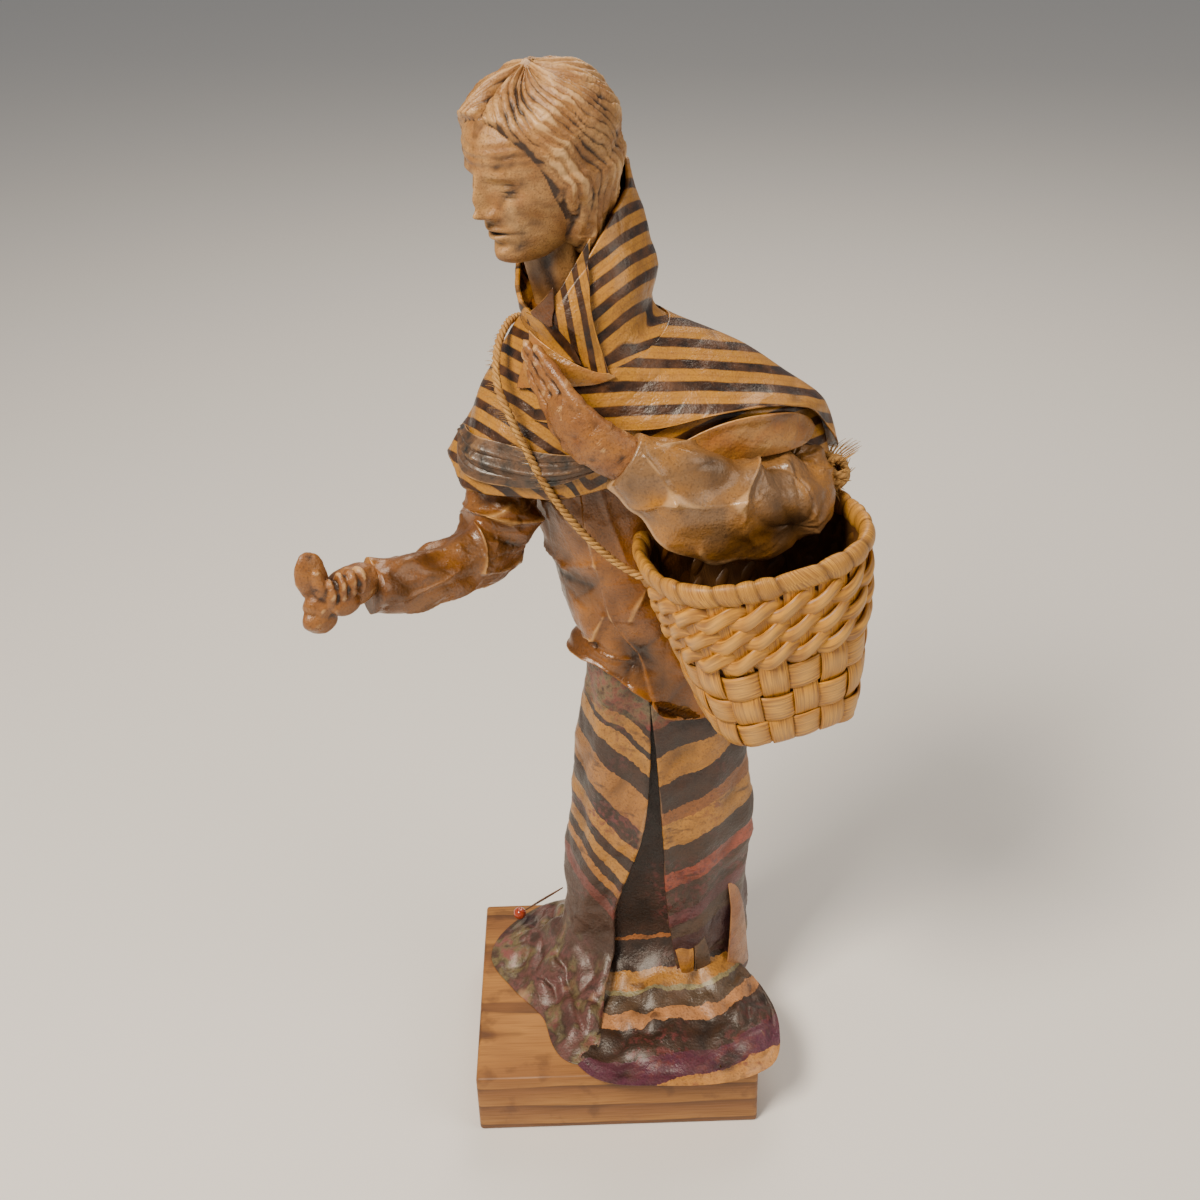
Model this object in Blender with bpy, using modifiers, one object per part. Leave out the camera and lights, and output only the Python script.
# Papier-mache figure of an old market walker with a straw basket, on a wooden block.
# Metres, +Z up. The origin is the centre of the block's underside and the figure faces -Y.

import math

import bmesh
import bpy
from mathutils import Matrix, Vector, noise

# Driving dimensions
GAP = 0.0003
BASE_WIDTH = 0.100
BASE_DEPTH = 0.091
BASE_THICKNESS = 0.0255
BASE_EDGE = 0.0008
FIGURE_HEIGHT = 0.3375
REBOZO_WALL = 0.0020
BASKET_RIM_WIDTH = 0.0700
BASKET_RIM_DEPTH = 0.0680
BASKET_FOOT_WIDTH = 0.0450
BASKET_FOOT_DEPTH = 0.0440
BASKET_HEIGHT = 0.0620
BASKET_WALL = 0.0024
BASKET_RIM_BAND = 0.0080
CORD_DIAMETER = 0.0024
KNOT_DIAMETER = 0.0105
BEAD_DIAMETER = 0.0048
STEM_DIAMETER = 0.0010

# The figure's pose and carving are counted in shares of its height, from the block's top.
# One share is a 337.5th of that height.
SHARE = FIGURE_HEIGHT / 337.5

parts = bpy.data.collections.new("papier_mache_figure")
cutters = bpy.data.collections.new("cutters")
# Each piece's mesh before room for its neighbours is cut, by name
whole_shapes = {}


def start_scene():
    for old in list(bpy.data.objects):
        bpy.data.objects.remove(old, do_unlink=True)
    bpy.context.scene.collection.children.link(parts)
    bpy.context.scene.collection.children.link(cutters)


# Small maths


def on_figure(x, y, z):
    """A point given in shares of the figure's height above the block."""
    return Vector((x * SHARE, y * SHARE, BASE_THICKNESS + z * SHARE))


def turn(degrees):
    """Cosine and sine of an angle in degrees."""
    return math.cos(math.radians(degrees)), math.sin(math.radians(degrees))


def hump(value, middle, reach):
    """1 at the middle, falling smoothly to nothing past the reach."""
    return math.exp(-(((value - middle) / reach) ** 2))


def through(keys, at):
    """Values at a place on the smooth curve through keys, each (place, value, value...)."""
    at = min(max(at, keys[0][0]), keys[-1][0])
    i = max(0, min(len(keys) - 2, sum(key[0] <= at for key in keys) - 1))
    start, end = keys[i], keys[i + 1]
    before, after = keys[max(i - 1, 0)], keys[min(i + 2, len(keys) - 1)]
    span = end[0] - start[0]
    t = (at - start[0]) / span
    values = []
    for k in range(1, len(start)):
        slope_in = (end[k] - before[k]) / (end[0] - before[0]) * span
        slope_out = (after[k] - start[k]) / (after[0] - start[0]) * span
        values.append(
            (2 * t**3 - 3 * t**2 + 1) * start[k]
            + (t**3 - 2 * t**2 + t) * slope_in
            + (3 * t**2 - 2 * t**3) * end[k]
            + (t**3 - t**2) * slope_out
        )
    return values


def around(keys, degrees):
    """The same on a closed curve whose places are angles in degrees."""
    before = [(key[0] - 360, *key[1:]) for key in keys[-2:]]
    after = [(key[0] + 360, *key[1:]) for key in keys[:2]]
    return through(before + keys + after, degrees % 360)


def crumple(point, size, depth, seed):
    """How far stiff crumpled paper stands out at a point, in metres."""
    sample = point / (size * SHARE) + Vector((seed, seed * 0.7, seed * 0.3))
    return (abs(noise.noise(sample)) * 2 - 0.45) * depth * SHARE


# Building blocks


def finish(name, colour, roughness, metallic=0.0):
    material = bpy.data.materials.new(name)
    material.use_nodes = True
    shader = material.node_tree.nodes["Principled BSDF"]
    shader.inputs["Base Color"].default_value = (*colour, 1)
    shader.inputs["Roughness"].default_value = roughness
    shader.inputs["Metallic"].default_value = metallic
    return material


def add_part(name, mesh, material, collection=parts):
    piece = bpy.data.objects.new(name, mesh)
    collection.objects.link(piece)
    if material:
        mesh.materials.clear()
        mesh.materials.append(material)
    mesh.shade_smooth()
    mesh.set_sharp_from_angle(angle=math.radians(50))
    return piece


def mesh_from(build, name):
    mesh = bpy.data.meshes.new(name)
    bmesh.ops.recalc_face_normals(build, faces=build.faces)
    build.to_mesh(mesh)
    build.free()
    return mesh


def loft(name, rings, material):
    """A closed skin over rings of as many points each, with flat ends."""
    build = bmesh.new()
    rows = [[build.verts.new(point) for point in ring] for ring in rings]
    count = len(rows[0])
    for low, high in zip(rows, rows[1:]):
        for i in range(count):
            j = (i + 1) % count
            build.faces.new((low[i], low[j], high[j], high[i]))
    for end in (rows[0], rows[-1]):
        build.faces.new(end)
    # A swollen copy has to bend along the same diagonals, so every face is a triangle from here on.
    bmesh.ops.triangulate(build, faces=build.faces)
    return add_part(name, mesh_from(build, name), material)


def evaluated_mesh(piece):
    bpy.context.view_layer.update()
    graph = bpy.context.evaluated_depsgraph_get()
    return bpy.data.meshes.new_from_object(piece.evaluated_get(graph))


def settle(piece):
    """Applies a piece's modifiers and keeps its one large body, without a cut's crumbs."""
    mesh = evaluated_mesh(piece)
    piece.modifiers.clear()
    piece.data = mesh
    build = bmesh.new()
    build.from_mesh(mesh)
    bmesh.ops.remove_doubles(build, verts=build.verts, dist=0.00002)
    bmesh.ops.dissolve_degenerate(build, edges=build.edges, dist=0.00001)
    left = set(build.faces)
    islands = []
    while left:
        island, front = set(), [left.pop()]
        while front:
            face = front.pop()
            island.add(face)
            for edge in face.edges:
                for other in edge.link_faces:
                    if other in left:
                        left.remove(other)
                        front.append(other)
        islands.append(island)
    islands.sort(key=len)
    for crumb in islands[:-1]:
        bmesh.ops.delete(build, geom=list(crumb), context="FACES")
    bmesh.ops.triangulate(build, faces=build.faces)
    build.to_mesh(mesh)
    build.free()


def join(piece, *others):
    """Makes one body of a piece and others that run into it."""
    for other in others:
        parts.objects.unlink(other)
        cutters.objects.link(other)
        other.hide_render = True
        other.display_type = "WIRE"
        cut = piece.modifiers.new("with_" + other.name, "BOOLEAN")
        cut.operation = "UNION"
        cut.solver = "MANIFOLD"
        cut.object = other
    settle(piece)


def clear_of(piece, *neighbours):
    """Cuts room for each neighbour's whole shape out of a piece, with the gap between them.

    The folded sheets meet at slivers that the exact solver leaves open, so the manifold one cuts.
    """
    for neighbour in neighbours:
        whole = whole_shapes[neighbour.name].copy()
        swollen = add_part("room_for_" + neighbour.name, whole, None, cutters)
        swollen.hide_render = True
        swollen.display_type = "WIRE"
        push = swollen.modifiers.new("gap", "DISPLACE")
        push.strength = GAP
        push.mid_level = 0
        cut = piece.modifiers.new(neighbour.name, "BOOLEAN")
        cut.operation = "DIFFERENCE"
        cut.solver = "MANIFOLD"
        cut.object = swollen
    settle(piece)


# Wooden block


def make_base(material):
    bpy.ops.mesh.primitive_cube_add(size=1)
    base = bpy.context.object
    base.name = "wooden_base"
    for collection in list(base.users_collection):
        collection.objects.unlink(base)
    parts.objects.link(base)
    base.data.transform(Matrix.Diagonal((BASE_WIDTH, BASE_DEPTH, BASE_THICKNESS, 1)))
    base.data.transform(Matrix.Translation((0, 0, BASE_THICKNESS / 2)))
    base.data.materials.append(material)
    edge = base.modifiers.new("worn_edges", "BEVEL")
    edge.width = BASE_EDGE
    edge.segments = 1
    edge.limit_method = "ANGLE"
    return base


# Skirts. The column's centre, half width and half depth by height
COLUMN = [
    (0, 17, 15, 33, 21),
    (25, 17, 15.5, 33, 21.5),
    (45, 17.5, 15.5, 33, 21.5),
    (75, 19.5, 16, 32.5, 21.5),
    (105, 19, 16, 30, 20.5),
    (125, 17.5, 15, 25.5, 18.5),
    (145, 16, 14, 20, 15.5),
    (158, 15.5, 13.5, 16.5, 13),
]
# How far each hem runs out over the block by angle, 0 at +X and 270 in front
SKIRT_HEM = [
    (0, 2), (83, 3.5), (110, 12), (134, 23), (154, 27.5), (178, 31), (200, 26),
    (222, 26), (246, 39), (262, 4), (300, 1), (335, 3),
]
TRAIN_HEM = [
    (0, 0), (180, 0), (218, 0), (236, 30), (251, 44),
    (268, 45), (298, 46), (311, 32), (325, 14), (340, 0),
]
# The slit's left and right edge by height, as angles
SLIT = [(0, 250, 284), (12, 243, 281), (35, 240, 276), (75, 256.5, 269), (125, 264.6, 265.4)]
SLIT_DEPTH, SLIT_TOP = 11, 126
TRAIN_REACH = 34
UNDERSKIRT_HEIGHTS = (0, 1.6, 3.5, 6, 10, 15, 23, 40, 80, 140)
SKIRT_HEIGHTS = (0, 1.4, 3.5, 7, 12, 18, 27, 40, 58, 80, 104, 126, 140, 156)


def column_point(height, degrees, inset):
    x, y, half_width, half_depth = through(COLUMN, height)
    c, s = turn(degrees)
    return x + (half_width - inset) * c, y + (half_depth - inset) * s


def skirt_point(height, degrees, inset, hem, steepness, ripple):
    """A point of a skirt: the column above, running out into the hem at the foot."""
    x, y = column_point(height, degrees, inset)
    c, s = turn(degrees)
    out = around(hem, degrees)[0] + inset
    low = max(0, 1 - height / TRAIN_REACH) ** steepness
    if out > inset + 0.5:
        x += out * low * c
        y += out * low * s
    point = on_figure(x, y, height)
    if 1 < height < TRAIN_REACH:
        spread = min(1, out / 25) * 4 * low * (1 - low)
        point.z += spread * ripple * math.sin(math.radians(degrees * 11)) * SHARE
        point.z += spread * crumple(point, 9, 2.2 * ripple, 4)
    return point


def make_underskirt(material):
    columns = 36
    rings = []
    for height in UNDERSKIRT_HEIGHTS:
        ring = []
        for i in range(columns):
            degrees = 200 + i * 360 / columns
            inset = 4 + 4.5 * hump(degrees, 262, 24) * (1 - height / 160)
            point = skirt_point(height, degrees, inset, TRAIN_HEM, 4.2, 1.0)
            ring.append(point + Vector((0, 0, GAP)))
        rings.append(ring)
    return loft("underskirt", rings, material)


def make_skirt(material):
    inside, outside = 3, 32
    rings = []
    for height in SKIRT_HEIGHTS:
        left, right = through(SLIT, height)
        ring = []
        for i in range(inside):
            degrees = left + (right - left) * (i + 0.5) / inside
            depth = SLIT_DEPTH if height < SLIT_TOP else 0
            x, y = column_point(height, degrees, depth)
            ring.append(on_figure(x, y, height) + Vector((0, 0, GAP)))
        for i in range(outside):
            degrees = right + (360 - right + left) * i / (outside - 1)
            point = skirt_point(height, degrees, 0, SKIRT_HEM, 3.4, 1.5)
            fold = 0.9 * math.sin(math.radians(degrees * 4 + height * 2.2))
            fold += 0.6 * math.sin(math.radians(degrees * 9 - height * 1.3))
            c, s = turn(degrees)
            still = min(1, height / 12) * SHARE
            ring.append(point + Vector((c * fold * still, s * fold * still, GAP)))
        rings.append(ring)
    return loft("skirt", rings, material)


# Blouse: centre, half width and half depth by height
TORSO = [
    (0, 18, 15, 29, 22),
    (10, 17, 14.5, 27, 20.5),
    (20, 15.5, 13, 23, 18),
    (41, 9.5, 12.5, 23, 17),
    (60, 6.5, 12, 24, 17),
    (80, 4.5, 11.5, 26, 17),
    (100, 4, 11, 28, 17),
    (117, 5, 10, 31, 15),
    (128, 6, 9, 28, 12),
    (138, 0, 7.5, 19, 11),
    (144, -4, 6.5, 13.5, 11.5),
]
WAIST_TAILS = 125
BLOUSE_RISES = (0, 8, 18, 28, 37, 42, 48, 66, 86, 106, 122, 134, 144)
BLOUSE_COLUMNS = 22
# Where the shoulders start, which the shawl covers, so they stay smooth
BLOUSE_SHOULDERS = 110
# How far the tails hang below or stop above that height, by angle
TAILS = [(0, 2), (90, 6), (180, 14), (235, 12), (262, 8), (275, -5), (310, -3)]


def make_blouse(material):
    rings = []
    for rise in BLOUSE_RISES:
        x, y, half_width, half_depth = through(TORSO, rise)
        ring = []
        for i in range(BLOUSE_COLUMNS):
            degrees = i * 360 / BLOUSE_COLUMNS
            c, s = turn(degrees)
            tail = around(TAILS, degrees)[0] * max(0, 1 - rise / 30)
            pleat = 0.7 * math.sin(math.radians(degrees * 6 + rise * 6))
            crease = 1.1 * hump(rise, 46, 3) - 1.4 * hump(rise, 40, 3)
            out = pleat + crease * hump(degrees, 240, 60)
            if rise >= BLOUSE_SHOULDERS:
                out = 0
            height = WAIST_TAILS + rise + tail
            ring.append(on_figure(x + (half_width + out) * c, y + (half_depth + out) * s, height))
        rings.append(ring)
    return loft("blouse", rings, material)


# Head. Its outline by height, -1 at the chin to 1 on top: reach to the face, back and side
HEAD = Vector((-13.0, 4.5, 309.5))
HEAD_TURN = 220
HEAD_ROWS, HEAD_COLUMNS = 23, 28
HEAD_TILT = 7
HALF_LENGTH, HALF_WIDTH, HALF_HEIGHT = 22.5, 19.0, 25.5
HEAD_OUTLINE = [
    (-1.0, 0.40, 0.05, 0.14), (-0.93, 0.68, 0.12, 0.32), (-0.8, 0.80, 0.30, 0.50), (-0.6, 0.85, 0.52, 0.67),
    (-0.4, 0.89, 0.72, 0.80), (-0.15, 0.91, 0.88, 0.90), (0.1, 0.94, 0.97, 0.96), (0.35, 0.97, 1.0, 1.0),
    (0.6, 0.90, 0.94, 0.93), (0.8, 0.70, 0.76, 0.74), (0.93, 0.44, 0.48, 0.46), (1.0, 0.08, 0.10, 0.08),
]
HAIR_OUTLINE = [
    (-1.0, 0.1, 0.2), (-0.85, 0.66, 0.66), (-0.6, 0.80, 0.80),
    (-0.3, 0.90, 0.90), (0.1, 0.99, 0.98), (1, 0.1, 0.1),
]
# Features of the face in halves of the head: side, height, reach across, reach up, depth
FACE = [
    (0.00, 0.40, 0.55, 0.16, 0.030),
    (0.00, 0.155, 0.14, 0.07, 0.035),
    (0.38, 0.165, 0.22, 0.055, 0.055),
    (0.38, 0.00, 0.17, 0.11, -0.115),
    (0.38, -0.01, 0.115, 0.062, 0.085),
    (0.00, 0.02, 0.075, 0.14, 0.100),
    (0.00, -0.14, 0.085, 0.13, 0.165),
    (0.00, -0.28, 0.105, 0.07, 0.190),
    (0.14, -0.30, 0.065, 0.055, 0.075),
    (0.56, -0.15, 0.20, 0.12, 0.055),
    (0.64, -0.42, 0.18, 0.18, -0.070),
    (0.00, -0.475, 0.23, 0.042, 0.070),
    (0.00, -0.525, 0.26, 0.020, -0.055),
    (0.00, -0.575, 0.19, 0.045, 0.075),
    (0.00, -0.675, 0.22, 0.045, -0.050),
    (0.00, -0.83, 0.24, 0.110, 0.100),
]
# Where the hair starts round from the face, in degrees, by height
HAIR_LINE = [
    (-1, 100), (-0.85, 84), (-0.5, 74), (-0.1, 64), (0.25, 54),
    (0.5, 40), (0.66, 20), (0.72, 0), (1, 0),
]
# Middle and radius of the neck along its length
NECK_LINE = [
    (0, -6, 7, 262, 10), (10, -7.5, 6.5, 271, 9.5), (22, -10, 6, 282, 9.3), (34, -11.5, 6, 296, 10.5),
]
NECK_ROWS, NECK_COLUMNS = 8, 14


def head_frame():
    """The head's own axes: towards its face, towards its left, and up."""
    c, s = turn(HEAD_TURN)
    face = Vector((c, s, 0))
    left = Vector((-s, c, 0))
    tip = math.radians(HEAD_TILT)
    up = Vector((0, 0, math.cos(tip))) + face * math.sin(tip)
    return face * math.cos(tip) - Vector((0, 0, math.sin(tip))), left, up


def head_point(degrees, rise):
    """A point of the head: degrees round from the face, rise -1 at the chin to 1 on top."""
    reach_face, reach_back, reach_side = through(HEAD_OUTLINE, rise)
    c, s = turn(degrees)
    turned = abs((degrees + 180) % 360 - 180)
    past_hair_line = turned - through(HAIR_LINE, rise)[0]
    lock = 0
    if past_hair_line > 0:
        full = min(1, past_hair_line / 12)
        hair_back, hair_side = through(HAIR_OUTLINE, rise)
        reach_back += full * max(0, hair_back - reach_back)
        reach_side += full * max(0, hair_side - reach_side)
        lock = full * (1.7 + 0.7 * math.sin(math.radians(turned * 10 + rise * 260)))
    forward = HALF_LENGTH * (reach_face if c > 0 else reach_back) * c
    aside = HALF_WIDTH * reach_side * s
    if c > 0:
        side = abs(aside) / HALF_WIDTH
        for place, level, across, tall, depth in FACE:
            feature = depth * hump(side, place, across) * hump(rise, level, tall)
            forward += feature * HALF_LENGTH * min(1, 3 * c)
    size = math.sqrt(max(0, 1 - rise * rise))
    face, left, up = head_frame()
    spot = HEAD + face * (forward + lock * size * c) + left * (aside + lock * size * s)
    return on_figure(*(spot + up * (HALF_HEIGHT * rise + lock * rise)))


def make_head(material):
    rings = []
    for row in range(HEAD_ROWS):
        rise = math.sin(math.radians(-90 + 180 * (row + 0.35) / HEAD_ROWS))
        ring = []
        for i in range(HEAD_COLUMNS):
            spread = i * 360 / HEAD_COLUMNS - 180
            degrees = spread * (0.5 + 0.5 * abs(spread) / 180)
            ring.append(head_point(degrees, rise))
        rings.append(ring)
    head = loft("head", rings, material)
    neck_rings = []
    for row in range(NECK_ROWS):
        x, y, z, radius = through(NECK_LINE, NECK_LINE[-1][0] * row / (NECK_ROWS - 1))
        ring = []
        for i in range(NECK_COLUMNS):
            degrees = i * 360 / NECK_COLUMNS
            c, s = turn(degrees)
            sinew = 1 + 0.06 * math.sin(math.radians(degrees * 4))
            ring.append(on_figure(x + radius * c * sinew, y + radius * s * sinew * 0.92, z))
        neck_rings.append(ring)
    neck = loft("neck", neck_rings, None)
    join(head, neck)
    return head


# Rebozo. Closed lines round the shoulders by angle: x, y and height
REBOZO_HEM = [
    (0, 72, 4, 216), (30, 62, 24, 214), (60, 37, 33, 212), (90, 8, 34, 211), (130, -24, 30, 214),
    (160, -42, 16, 219), (185, -46, 2, 220), (210, -39, -12, 217), (235, -22, -19, 216),
    (270, 4, -20, 219), (295, 24, -23, 228), (320, 46, -18, 233), (342, 64, -7, 226),
]
REBOZO_FLAP = [
    (0, 64, 5, 236), (45, 45, 25, 232), (90, 8, 30.5, 229), (135, -24, 27, 231),
    (180, -38.5, 3, 235), (225, -26, -17.5, 232), (270, 5, -20.5, 233), (315, 42, -19, 242),
]
REBOZO_SHOULDER = [
    (0, 46, 5, 251), (45, 33, 20, 249), (90, 8, 25, 246), (135, -18, 21, 247),
    (180, -31, 3, 250), (225, -22, -14, 246), (270, 4, -18.5, 245), (315, 31, -16.5, 249),
]
REBOZO_NECK = [
    (0, 19, 6, 266), (90, 0, 21, 266), (180, -21, 3, 266),
    (225, -15, -11.5, 262), (270, 1, -17, 257), (315, 14, -11, 262),
]
REBOZO_COLLAR = [
    (0, 19, 7, 279), (45, 12, 20, 283), (90, -5, 26, 286), (135, -20, 19, 276),
    (180, -21.5, 1, 269.5), (225, -15.5, -12, 268), (270, -4, -16, 272), (315, 11, -10, 278),
]
REBOZO_TOP = [
    (0, 12, 6, 303), (36, 10, 17, 309), (70, 0, 26, 307), (100, -12, 27, 296), (130, -20, 19, 283),
    (155, -22.5, 9, 276), (180, -21.5, 0, 272), (215, -17, -11, 271), (245, -10, -15.5, 275),
    (270, -5, -13, 281), (300, 1, -9, 289), (330, 7.5, -2, 297),
]
REBOZO_LINES = (REBOZO_HEM, REBOZO_FLAP, REBOZO_SHOULDER, REBOZO_NECK, REBOZO_COLLAR, REBOZO_TOP)


def rebozo_point(degrees, rise):
    """A point of the shawl: degrees round, rise 0 at the hem to 1 at the upper edge."""
    keys = [(i, *around(line, degrees)) for i, line in enumerate(REBOZO_LINES)]
    x, y, z = through(keys, rise * (len(keys) - 1))
    c, s = turn(degrees)
    fold = 1.3 * math.sin(math.radians(degrees * 9 + rise * 300)) * max(0, 1 - rise * 2.2)
    fold += 0.9 * math.sin(math.radians(degrees * 3 + rise * 900)) * max(0, 1 - abs(rise - 0.3) * 4)
    fold += 2.2 * hump(rise, 0.2, 0.06) * hump(degrees, 325, 40)
    return on_figure(x + fold * c, y + fold * s, z)


def make_rebozo(material):
    columns, rows = 34, 12
    build = bmesh.new()
    grid = []
    for row in range(rows):
        rise = row / (rows - 1)
        grid.append([build.verts.new(rebozo_point(i * 360 / columns, rise)) for i in range(columns)])
    for low, high in zip(grid, grid[1:]):
        for i in range(columns):
            k = (i + 1) % columns
            build.faces.new((low[i], low[k], high[k], high[i]))
    rebozo = add_part("rebozo", mesh_from(build, "rebozo"), material)
    sheet = rebozo.modifiers.new("stiff_paper", "SOLIDIFY")
    sheet.thickness = REBOZO_WALL
    sheet.offset = -1
    return rebozo


# Sleeves and hands


def along(name, line, material, count, steps, shape):
    """A tube along a line of keys (place, x, y, height, ...), its outline given by shape."""
    rings = []
    last = line[-1][0]
    for step in range(steps):
        place = last * step / (steps - 1)
        here = through(line, place)
        ahead, behind = through(line, min(last, place + 0.5)), through(line, max(0, place - 0.5))
        way = (on_figure(*ahead[:3]) - on_figure(*behind[:3])).normalized()
        side = way.cross(Vector((0, 0, 1))).normalized()
        top = side.cross(way)
        ring = []
        for i in range(count):
            across, up = shape(place / last, i * 360 / count, here[3:])
            ring.append(on_figure(*here[:3]) + (side * across + top * up) * SHARE)
        rings.append(ring)
    return loft(name, rings, material)


RIGHT_ARM = [
    (0, -20, 8, 240, 8, 10), (14, -25, 6, 226, 9, 10), (28, -29.5, 3, 210, 10, 10),
    (42, -33, -3, 197, 10.5, 10.5), (56, -44, -14, 192, 9, 9), (72, -57, -27, 194, 8.5, 8),
    (86, -68, -36, 197.5, 6.5, 7.5),
]
LEFT_ARM = [
    (0, 33, 6, 236, 8, 9), (14, 45, 4, 227, 9, 10), (30, 60, -1, 213, 10, 11), (42, 61, -12, 208, 10, 11),
    (58, 46, -24, 211, 10, 12.5), (74, 31, -30, 219, 9.5, 15.5), (88, 17, -33, 229, 8, 12),
    (100, 7.5, -34, 235, 6, 8.5),
]


def sleeve_shape(seed, depth):
    def shape(share, degrees, size):
        c, s = turn(degrees)
        dent = 1 + depth * noise.noise(Vector((c * 1.4 + seed, s * 1.4, share * 9)))
        return size[0] * c * dent, size[1] * s * dent

    return shape


def make_sleeves(material):
    right = along("right_sleeve", RIGHT_ARM, material, 14, 13, sleeve_shape(3, 0.35))
    left = along("left_sleeve", LEFT_ARM, material, 16, 14, sleeve_shape(8, 0.25))
    return right, left


LEFT_HAND = [
    (0, 9, -34, 235, 4.6, 6.4), (10, 0, -34, 240.5, 4.0, 6.4), (20, -7, -31.5, 247, 3.4, 6.8),
    (30, -12, -26.5, 254, 2.8, 6.0),
    (40, -16.5, -21, 260, 2.2, 4.6), (50, -20.3, -16.2, 265, 1.5, 2.6),
]


def hand_shape(share, degrees, size):
    """A flat hand whose fingers lie side by side, with a groove between each two."""
    c, s = turn(degrees)
    finger = 1 - 0.22 * abs(math.sin(math.radians(s * 200))) * max(0, min(1, share * 2 - 0.5))
    return size[0] * c * finger, size[1] * s


def ball(name, middle, size, turned, material):
    """An oval lump: its middle and half sizes in shares of the figure, turned about Z and Y."""
    build = bmesh.new()
    bmesh.ops.create_uvsphere(build, u_segments=10, v_segments=6, radius=1)
    around_z, around_y = turned
    place = Matrix.Translation(on_figure(*middle)) @ Matrix.Rotation(math.radians(around_z), 4, "Z")
    place = place @ Matrix.Rotation(math.radians(around_y), 4, "Y")
    place = place @ Matrix.Diagonal((size[0] * SHARE, size[1] * SHARE, size[2] * SHARE, 1))
    bmesh.ops.transform(build, matrix=place, verts=build.verts)
    return add_part(name, mesh_from(build, name), material)


def make_hands(material):
    palm = ball("right_hand", (-74.5, -41.5, 200.5), (11, 5.5, 6.2), (42, 4), material)
    thumb = ball("thumb", (-82, -48, 208.5), (4.2, 2.8, 7.6), (30, -10), None)
    fingers = ball("fingers", (-80.5, -48.5, 195), (6.2, 4.4, 4.2), (42, 30), None)
    curled = ball("curled", (-75.5, -48, 200.5), (5.5, 3.6, 5.6), (42, 0), None)
    join(palm, thumb, fingers, curled)
    left = along("left_hand", LEFT_HAND, material, 14, 10, hand_shape)
    return palm, left


# Basket. It hangs at the figure's left hip, in front of it, its outer side raised
BASKET_PLACE = (45.5, -18.5, 203)
BASKET_TURN = 14
BASKET_RAISED = 9
BASKET_TIPPED = 4
HIP_ROOM = 1.2
BASKET_SIDES = 32


def outline_at(width, depth, corner, degrees):
    """A rounded square's point by angle: corner 2 is an ellipse, larger is squarer."""
    c, s = turn(degrees)
    reach = (abs(c) ** corner + abs(s) ** corner) ** (-1 / corner)
    return width / 2 * reach * c, depth / 2 * reach * s


def off_the_body(point):
    """Moves a point of the basket out of the torso, if it is in it."""
    height = (point.z - BASE_THICKNESS) / SHARE - WAIST_TAILS
    x, y, half_width, half_depth = through(TORSO, height)
    half_width += HIP_ROOM
    half_depth += HIP_ROOM
    away = Vector((point.x / SHARE - x, point.y / SHARE - y, 0))
    inside = math.hypot(away.x / half_width, away.y / half_depth)
    if inside >= 1:
        return point
    spot = away / inside
    return Vector(((x + spot.x) * SHARE, (y + spot.y) * SHARE, point.z))


def basket_ring(rise, inset, weave):
    """A ring of the basket wall: rise 0 at the foot to 1 at the rim."""
    spread = rise**0.8
    width = BASKET_FOOT_WIDTH + (BASKET_RIM_WIDTH - BASKET_FOOT_WIDTH) * spread - 2 * inset
    depth = BASKET_FOOT_DEPTH + (BASKET_RIM_DEPTH - BASKET_FOOT_DEPTH) * spread - 2 * inset
    hung = Matrix.Translation(on_figure(*BASKET_PLACE))
    hung = hung @ Matrix.Rotation(math.radians(-BASKET_RAISED), 4, "Y")
    hung = hung @ Matrix.Rotation(math.radians(-BASKET_TIPPED), 4, "X")
    hung = hung @ Matrix.Rotation(math.radians(BASKET_TURN), 4, "Z")
    ring = []
    for i in range(BASKET_SIDES):
        degrees = i * 360 / BASKET_SIDES
        x, y = outline_at(width, depth, 3.4 - 0.9 * rise, degrees)
        c, s = turn(degrees)
        over = weave * (1 if i % 2 else -1)
        ring.append(off_the_body(hung @ Vector((x + over * c, y + over * s, BASKET_HEIGHT * (rise - 1)))))
    return ring


def make_basket(material):
    band = BASKET_RIM_BAND / BASKET_HEIGHT
    strip = 0.0007
    rings = [basket_ring(0, BASKET_WALL * 0.6, 0)]
    rows = 8
    for row in range(rows):
        rise = 0.02 + (1 - band - 0.03) * row / (rows - 1)
        rings.append(basket_ring(rise, 0, strip if row % 2 else -strip))
    for rise, inset in ((1 - band, -0.0002), (1 - band * 0.6, -0.0013), (1, 0.0003)):
        rings.append(basket_ring(rise, inset, 0.0002))
    rings.append(basket_ring(1, BASKET_WALL, 0))
    for rise in (0.6, 0.15, BASKET_WALL / BASKET_HEIGHT):
        rings.append(basket_ring(rise, BASKET_WALL, 0))
    return loft("basket", rings, material)


# Carrying cord: its route over the chest and the shoulder, down the back, to the basket
CORD_ROUTE = [
    (13, -24, 190.5), (10, -23.5, 192), (3, -22.5, 197), (-6, -22, 207), (-14.3, -22.5, 220),
    (-20, -23, 233), (-25, -21.5, 245), (-28, -17.5, 253), (-28, -9, 259.5), (-25.5, 0, 263.5),
    (-22, 10, 262.5), (-17, 18.5, 257.5), (-9, 26, 248), (3, 30.8, 238), (17, 33.8, 227),
    (31, 35.5, 217), (46, 32.5, 209), (60, 23.5, 206), (69, 13, 206), (73.8, 3, 209.5),
]
KNOT_PLACE = (74, 1, 211)


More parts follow.
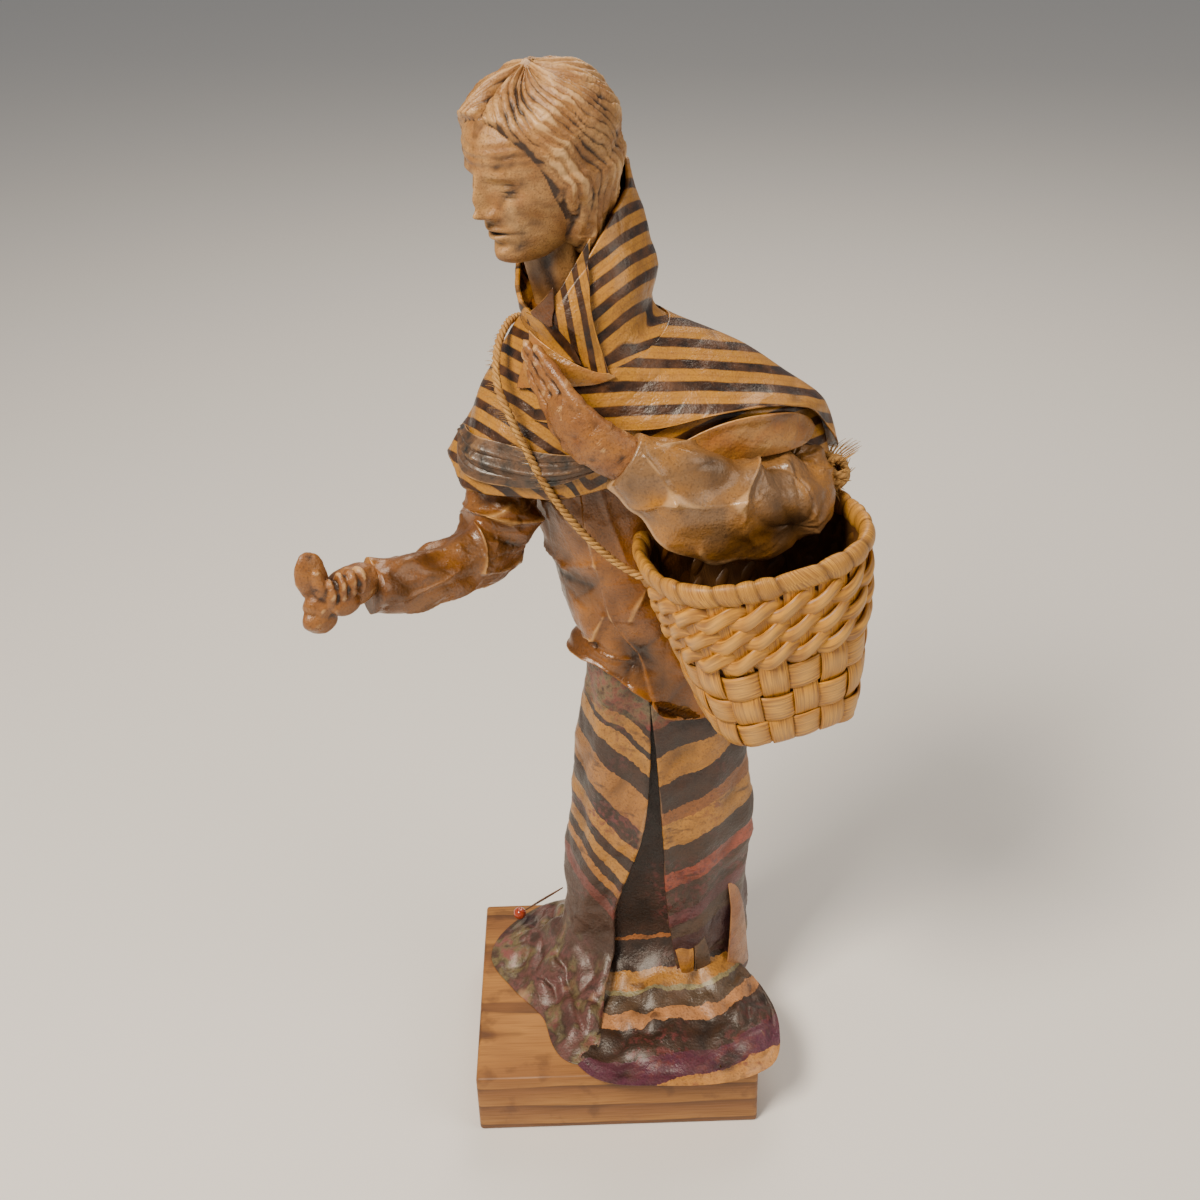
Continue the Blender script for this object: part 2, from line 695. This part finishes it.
def make_cord(material):
    route = [on_figure(*point) for point in CORD_ROUTE]
    lengths = [0.0]
    for here, ahead in zip(route, route[1:]):
        lengths.append(lengths[-1] + (ahead - here).length)
    keys = [(length, *point) for length, point in zip(lengths, route)]
    steps = int(lengths[-1] / (3 * CORD_DIAMETER))
    curve = bpy.data.curves.new("carrying_cord", "CURVE")
    curve.dimensions = "3D"
    curve.bevel_depth = CORD_DIAMETER / 2
    curve.bevel_resolution = 2
    curve.use_fill_caps = True
    spline = curve.splines.new("POLY")
    spline.points.add(steps)
    for i, point in enumerate(spline.points):
        point.co = (*through(keys, lengths[-1] * i / steps), 1)
    tube = add_curve(curve)
    cord = add_part("carrying_cord", evaluated_mesh(tube), material)
    bpy.data.objects.remove(tube)
    build = bmesh.new()
    build.from_mesh(cord.data)
    bmesh.ops.remove_doubles(build, verts=build.verts, dist=0.00001)
    build.to_mesh(cord.data)
    build.free()
    half = KNOT_DIAMETER / 2 / SHARE
    knot = ball("knot", KNOT_PLACE, (half, half * 0.85, half * 0.9), (30, 20), None)
    x, y, z = KNOT_PLACE
    tuft = ball("tuft", (x - 1, y + 3, z + half), (2.4, 2.2, half), (0, 15), None)
    join(cord, knot, tuft)
    return cord


def add_curve(curve):
    tube = bpy.data.objects.new(curve.name + "_line", curve)
    cutters.objects.link(tube)
    tube.hide_render = True
    return tube


# Bead on the hem, with its stem
BEAD_PLACE = (-36.0, 31.5)
STEM_END = (-19, 41)


def make_bead(bead_material, stem_material):
    radius = BEAD_DIAMETER / 2
    middle = on_figure(*BEAD_PLACE, 5.5) + Vector((0, 0, radius))
    build = bmesh.new()
    bmesh.ops.create_uvsphere(build, u_segments=10, v_segments=8, radius=radius)
    bmesh.ops.translate(build, vec=middle, verts=build.verts)
    bead = add_part("red_bead", mesh_from(build, "red_bead"), bead_material)
    reach = on_figure(*STEM_END, 12) - middle
    start = middle + reach.normalized() * (radius + GAP)
    build = bmesh.new()
    bmesh.ops.create_cone(
        build,
        cap_ends=True,
        segments=8,
        radius1=STEM_DIAMETER / 2,
        radius2=STEM_DIAMETER / 2,
        depth=(middle + reach - start).length,
    )
    lean = reach.to_track_quat("Z", "Y").to_matrix().to_4x4()
    place = Matrix.Translation((start + middle + reach) / 2) @ lean
    bmesh.ops.transform(build, matrix=place, verts=build.verts)
    stem = add_part("bead_stem", mesh_from(build, "bead_stem"), stem_material)
    return bead, stem


def main():
    start_scene()
    wood = finish("oiled_wood", (0.36, 0.17, 0.055), 0.6)
    dark_paper = finish("painted_paper_dark", (0.10, 0.05, 0.03), 0.55)
    painted_paper = finish("painted_paper", (0.24, 0.12, 0.06), 0.5)
    brown_paper = finish("varnished_paper", (0.30, 0.13, 0.045), 0.35)
    striped_paper = finish("striped_paper", (0.50, 0.22, 0.06), 0.45)
    moulded = finish("moulded_paper_pulp", (0.44, 0.26, 0.12), 0.6)
    straw = finish("straw", (0.62, 0.38, 0.13), 0.6)
    fibre = finish("twisted_fibre", (0.50, 0.31, 0.11), 0.8)
    red = finish("red_bead", (0.45, 0.06, 0.02), 0.3)
    thread = finish("dark_stem", (0.05, 0.025, 0.015), 0.7)

    make_base(wood)
    underskirt = make_underskirt(dark_paper)
    skirt = make_skirt(painted_paper)
    blouse = make_blouse(brown_paper)
    head = make_head(moulded)
    rebozo = make_rebozo(striped_paper)
    right_sleeve, left_sleeve = make_sleeves(brown_paper)
    right_hand, left_hand = make_hands(moulded)
    basket = make_basket(straw)
    cord = make_cord(fibre)
    bead, stem = make_bead(red, thread)

    for piece in parts.objects:
        whole_shapes[piece.name] = evaluated_mesh(piece)
    clear_of(underskirt, bead)
    clear_of(skirt, underskirt, bead, stem)
    clear_of(blouse, underskirt, skirt, head, basket, cord)
    clear_of(basket, cord)
    clear_of(right_hand, cord)
    clear_of(left_hand, cord)
    clear_of(right_sleeve, blouse, right_hand, cord)
    clear_of(left_sleeve, blouse, left_hand, basket, cord)
    clear_of(rebozo, blouse, head, right_sleeve, left_sleeve, left_hand, cord, basket)


main()
